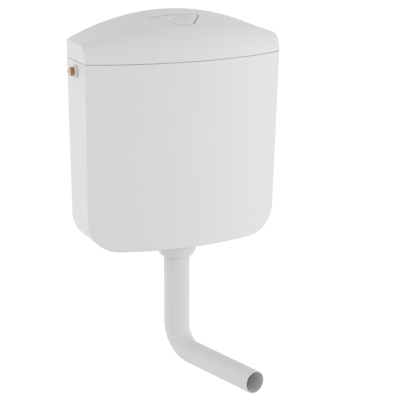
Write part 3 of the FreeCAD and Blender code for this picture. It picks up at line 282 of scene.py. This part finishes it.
def bead_foam(name, colour, bead_size, bead_depth):
    """Foam pressed from beads: round cells with a faint dark line between them."""
    material = bpy.data.materials.new(name)
    material.use_nodes = True
    foam = Finish(material.node_tree)
    place = foam.node("ShaderNodeTexCoord", {}, {}, "Object")
    bead = foam.node("ShaderNodeTexVoronoi", {"feature": "DISTANCE_TO_EDGE"},
                     {"Vector": place, "Scale": 1.0 / bead_size})
    line = foam.node("ShaderNodeMapRange", {}, {0: bead, 1: 0.0, 2: bead_line_width, 3: 1.0, 4: 0.0})
    joint = tuple(c * bead_line_gain for c in colour) + (1,)
    shade = foam.node("ShaderNodeMix", {"data_type": "RGBA"},
                      {0: line * bead_line_share, 6: colour + (1,), 7: joint}, 2)
    bump = foam.node("ShaderNodeBump", {},
                     {"Strength": bead_strength, "Distance": bead_depth, "Height": bead})
    surface = foam.node("ShaderNodeBsdfPrincipled", {},
                        {"Base Color": shade, "Roughness": foam_roughness, "Normal": bump})
    foam.node("ShaderNodeOutputMaterial", {}, {"Surface": surface})
    return material


liner_bead = 0.0035
liner_bead_depth = 0.0006
dress("foam_liner", bead_foam("white bead foam", (0.82, 0.82, 0.80), liner_bead, liner_bead_depth))


# Flush valve seat and its fixing
# The base is a white moulding clamped through the bottom of the tank by a notched nut, with a
# soft black gasket under its flange.
inner_grain = 0.0006
inner_depth = 0.00003
coarse_grain = 0.0007
inner_white = moulded_plastic("white polypropylene", (0.74, 0.75, 0.75), 0.45,
                              coarse_grain, inner_depth)
for name in ("valve_base", "lock_nut", "valve_cage", "lift_tube", "lever_bridge", "rocker_pin",
             "push_rod"):
    dress(name, inner_white)


bloom_scale = 120.0
rubber_grain_scale = 2500.0
bloom_gain = 0.035
rubber_grain_depth = 0.00004
rubber_roughness = 0.6
bloom_roughness = 0.2


def soft_rubber(name, colour):
    """Moulded rubber: dull, with a faint bloom and a fine matt grain."""
    material = bpy.data.materials.new(name)
    material.use_nodes = True
    rubber = Finish(material.node_tree)
    place = rubber.node("ShaderNodeTexCoord", {}, {}, "Object")
    bloom = rubber.node("ShaderNodeTexNoise", {},
                        {"Vector": place, "Scale": bloom_scale, "Detail": 4.0})
    grain = rubber.node("ShaderNodeTexNoise", {},
                        {"Vector": place, "Scale": rubber_grain_scale, "Detail": 2.0})
    dusty = tuple(c + bloom_gain for c in colour) + (1,)
    shade = rubber.node("ShaderNodeMix", {"data_type": "RGBA"},
                        {0: bloom, 6: colour + (1,), 7: dusty}, 2)
    bump = rubber.node("ShaderNodeBump", {},
                       {"Strength": grain_strength, "Distance": rubber_grain_depth, "Height": grain})
    roughness = bloom * bloom_roughness + rubber_roughness
    surface = rubber.node("ShaderNodeBsdfPrincipled", {},
                          {"Base Color": shade, "Roughness": roughness, "Normal": bump})
    rubber.node("ShaderNodeOutputMaterial", {}, {"Surface": surface})
    return material


black_rubber = soft_rubber("black rubber", (0.025, 0.025, 0.026))
for name in ("base_gasket", "valve_seal", "pipe_seal", "inlet_washer", "plug_washer",
             "diaphragm"):
    dress(name, black_rubber)


# Float cup, rocker and lift rod
# The pieces that move the valve are moulded in blue, so that a fitter sees them at a glance.
working_blue = moulded_plastic("blue polypropylene", (0.06, 0.17, 0.38), 0.40,
                               inner_grain, inner_depth)
for name in ("float_cup", "rocker", "lift_rod", "head_cap", "float_arm"):
    dress(name, working_blue)


# Fill valve
# White acetal mouldings screwed together, hung from the brass inlet in the tank's left side.
for name in ("fill_valve_body", "filling_tube", "arm_pin", "level_rod"):
    dress(name, inner_white)
dress("strainer", moulded_plastic("natural nylon", (0.86, 0.80, 0.76), 0.5,
                                  inner_grain, inner_depth))
float_bead = 0.0028
float_bead_depth = 0.0005
dress("fill_float", bead_foam("grey bead foam", (0.70, 0.70, 0.69), float_bead, float_bead_depth))


# Brass inlet
# Turned from bar: a pipe thread runs along it to a hexagon flange, which sits against the inside
# of the tank, and the fill valve is pushed over its plain tail. It is a little tarnished.
inlet_low, inlet_high = (Vector(corner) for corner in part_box("inlet_nipple"))
inlet_middle = (inlet_low + inlet_high) / 2
inlet_end = inlet_low.x
flange_to_tail_end = 0.016
tail_length = 0.012
flange_face = inlet_high.x - flange_to_tail_end
flange_end = inlet_high.x - tail_length
inlet_bore = 0.005
inlet_tail = 0.007
thread_crest = 0.00833
thread_root = 0.00749
thread_pitch = 0.001337
thread_chamfer = 0.0008
chamfer_clearance = 0.00002
thread_sink = 0.0005
crest_start = 0.38
crest_end = 0.60
flange_half_across = 0.012
flange_chamfer = 0.0007
flange_chamfer_rise = 0.0003
tail_chamfer = 0.0005
turn_steps = 48
weld_distance = 0.000002
cut_distance = 0.000001
rim_tolerance = 0.000005
smooth_angle = math.radians(28)


def from_axis(vertex):
    """How far a point of the brass lies from its axis, as an arrow."""
    return Vector((0.0, vertex.co.y - inlet_middle.y, vertex.co.z - inlet_middle.z))


def set_radius(vertex, radius):
    arrow = from_axis(vertex).normalized() * radius
    vertex.co.y = inlet_middle.y + arrow.y
    vertex.co.z = inlet_middle.z + arrow.z


def lathe_line(metal, points, closed):
    """The edges of a turning profile, from places along the axis and their radii."""
    corners = [metal.verts.new((x, inlet_middle.y, inlet_middle.z + r)) for x, r in points]
    pairs = list(zip(corners, corners[1:]))
    if closed:
        pairs.append((corners[-1], corners[0]))
    return corners + [metal.edges.new(pair) for pair in pairs]


# The thread: one tooth swept round and along, cut off square and chamfered at its outer end
metal = bmesh.new()
first = inlet_end - thread_pitch
tooth = [(first, thread_root), (first + crest_start * thread_pitch, thread_crest),
         (first + crest_end * thread_pitch, thread_crest), (first + thread_pitch, thread_root)]
turns = math.ceil((flange_face - first) / thread_pitch) + 1
axis_point = (0, inlet_middle.y, inlet_middle.z)
bmesh.ops.spin(metal, geom=lathe_line(metal, tooth, False), cent=axis_point,
               axis=(1, 0, 0), dvec=(thread_pitch / turn_steps, 0, 0), angle=math.tau * turns,
               steps=turn_steps * turns, use_merge=False, use_duplicate=False)
bmesh.ops.remove_doubles(metal, verts=metal.verts, dist=weld_distance)
thread_far = flange_face + thread_sink
for cut_x, side in ((inlet_end, -1), (thread_far, 1)):
    bmesh.ops.bisect_plane(metal, geom=metal.verts[:] + metal.edges[:] + metal.faces[:],
                           dist=cut_distance, plane_co=(cut_x, 0, 0), plane_no=(side, 0, 0),
                           clear_outer=True)
for vertex in metal.verts:
    limit = thread_root + chamfer_clearance + max(0.0, vertex.co.x - inlet_end)
    if vertex.co.x - inlet_end < thread_chamfer and from_axis(vertex).length > limit:
        set_radius(vertex, limit)
rims = []
for rim_x in (inlet_end, thread_far):
    rim = [e for e in metal.edges
           if e.is_boundary and all(abs(v.co.x - rim_x) < rim_tolerance for v in e.verts)]
    inward = bmesh.ops.extrude_edge_only(metal, edges=rim)["geom"]
    for vertex in (part for part in inward if isinstance(part, bmesh.types.BMVert)):
        set_radius(vertex, inlet_bore)
    rims += [e for e in inward if isinstance(e, bmesh.types.BMEdge) and e.is_boundary]
bmesh.ops.bridge_loops(metal, edges=rims)

# The flange and the tail: turned, and then the flange is milled to six flats
flange_corner = flange_half_across / math.cos(math.pi / 6)
flange_rim = flange_half_across + flange_chamfer_rise
shape = [(flange_face, inlet_bore), (flange_face, flange_rim),
         (flange_face + flange_chamfer, flange_corner), (flange_end - flange_chamfer, flange_corner),
         (flange_end, flange_rim), (flange_end, inlet_tail),
         (inlet_high.x - tail_chamfer, inlet_tail), (inlet_high.x, inlet_tail - tail_chamfer),
         (inlet_high.x, inlet_bore)]
turning = lathe_line(metal, shape, True)
bmesh.ops.spin(metal, geom=turning, cent=axis_point, axis=(1, 0, 0), angle=math.tau,
               steps=turn_steps, use_merge=True, use_duplicate=False)
for vertex in metal.verts:
    arrow = from_axis(vertex)
    if arrow.length > flange_half_across:
        around = math.atan2(arrow.z, arrow.y) % (math.pi / 3) - math.pi / 6
        set_radius(vertex, min(arrow.length, flange_half_across / math.cos(around)))
bmesh.ops.recalc_face_normals(metal, faces=metal.faces)
brass_mesh = bpy.data.meshes.new("brass_inlet")
metal.to_mesh(brass_mesh)
metal.free()
for face in brass_mesh.polygons:
    face.use_smooth = True
brass_mesh.set_sharp_from_angle(angle=smooth_angle)
brass_inlet = bpy.data.objects.new("brass_inlet", brass_mesh)
bpy.context.scene.collection.objects.link(brass_inlet)
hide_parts("inlet_nipple")
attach(brass_inlet, "cistern")


tarnish_scale = 260.0
ring_scale = (9000.0, 120.0, 120.0)
ring_depth = 0.00002
ring_strength = 0.4
# Where the brass carries a pale painted highlight: the mouth of the bore and the end face, and how much
# less metallic it is there.
bore_highlight_edge = (0.0060 ** 2, 0.0055 ** 2)
end_highlight_edge = (0.0006, 0.0002)
highlight_dullness = 0.7
brass_roughness = 0.22
tarnish_roughness = 0.25


def turned_brass(name):
    """Brass from the lathe: tool rings, a cloud of brown tarnish, and a pale painted highlight on its
    end face and in the mouth of its bore.
    """
    material = bpy.data.materials.new(name)
    material.use_nodes = True
    brass = Finish(material.node_tree)
    place = brass.node("ShaderNodeTexCoord", {}, {}, "Object")
    tarnish = brass.node("ShaderNodeTexNoise", {},
                         {"Vector": place, "Scale": tarnish_scale, "Detail": 5.0})
    along = brass.node("ShaderNodeMapping", {}, {"Vector": place, "Scale": ring_scale})
    rings = brass.node("ShaderNodeTexNoise", {}, {"Vector": along, "Scale": 1.0, "Detail": 1.0})
    bright = (0.70, 0.53, 0.31, 1)
    dull = (0.40, 0.31, 0.19, 1)
    # The colour of the pale painted highlight on the end face and in the mouth of the bore.
    painted_highlight_colour = (0.93, 0.76, 0.62, 1)
    aged = brass.node("ShaderNodeMix", {"data_type": "RGBA"}, {0: tarnish, 6: bright, 7: dull}, 2)
    inward = brass.node("ShaderNodeSeparateXYZ", {}, {"Vector": place}, "X") - inlet_end
    across = brass.node("ShaderNodeSeparateXYZ", {}, {"Vector": place}, "Y") - inlet_middle.y
    up = brass.node("ShaderNodeSeparateXYZ", {}, {"Vector": place}, "Z") - inlet_middle.z
    off_axis = across * across + up * up
    # Painted highlight: a mask that is full in the mouth of the bore and on the end face, where the
    # brass is painted pale and made less metallic.
    bore_highlight = brass.node("ShaderNodeMapRange", {}, {0: off_axis, 1: bore_highlight_edge[0], 2: bore_highlight_edge[1]})
    end_highlight = brass.node("ShaderNodeMapRange", {}, {0: inward, 1: end_highlight_edge[0], 2: end_highlight_edge[1]})
    highlight_share = brass.node("ShaderNodeMath", {"operation": "MAXIMUM"}, {0: bore_highlight, 1: end_highlight})
    shade = brass.node("ShaderNodeMix", {"data_type": "RGBA"}, {0: highlight_share, 6: aged, 7: painted_highlight_colour}, 2)
    bump = brass.node("ShaderNodeBump", {},
                      {"Strength": ring_strength, "Distance": ring_depth, "Height": rings})
    roughness = tarnish * tarnish_roughness + brass_roughness
    surface = brass.node("ShaderNodeBsdfPrincipled", {},
                         {"Base Color": shade, "Metallic": 1.0 - highlight_share * highlight_dullness,
                          "Roughness": roughness, "Normal": bump})
    brass.node("ShaderNodeOutputMaterial", {}, {"Surface": surface})
    return material


brass_mesh.materials.append(turned_brass("turned brass"))


# Nuts and plug
# Moulded in a harder, slightly greyer white plastic than the tank, and turned up by hand.
nut_white = moulded_plastic("white nut plastic", (0.772, 0.75, 0.774), 0.36,
                            inner_grain, satin_depth)
for name in ("inlet_nut", "inlet_plug", "plug_nut", "union_nut"):
    dress(name, nut_white)


# Flush bend
# A length of white pipe, heated and blown over a former into its bend, with a long thin-walled
# leg. The leg has been nearer the daylight, and its white is a little yellower.
leg_tint = (0.986, 1.016, 0.985)
leg_tint_start = -0.09
leg_tint_full = -0.15
pipe_white = moulded_plastic("white pipe plastic", (0.751, 0.729, 0.752), 0.38,
                             inner_grain, satin_depth,
                             front_tint=(leg_tint, leg_tint_start, leg_tint_full))
dress("flush_bend", pipe_white)


# Lid, surround and push plate
# Moulded from a later batch than the tank, so their white is a shade greyer. The plate tips about
# its rear edge inside a fine dark gap.
lid_white = moulded_plastic("satin white lid plastic", (0.792, 0.792, 0.792), 0.42,
                            satin_grain, satin_depth, cooling_wave)
for name in ("lid", "button_surround", "push_plate"):
    dress(name, lid_white)
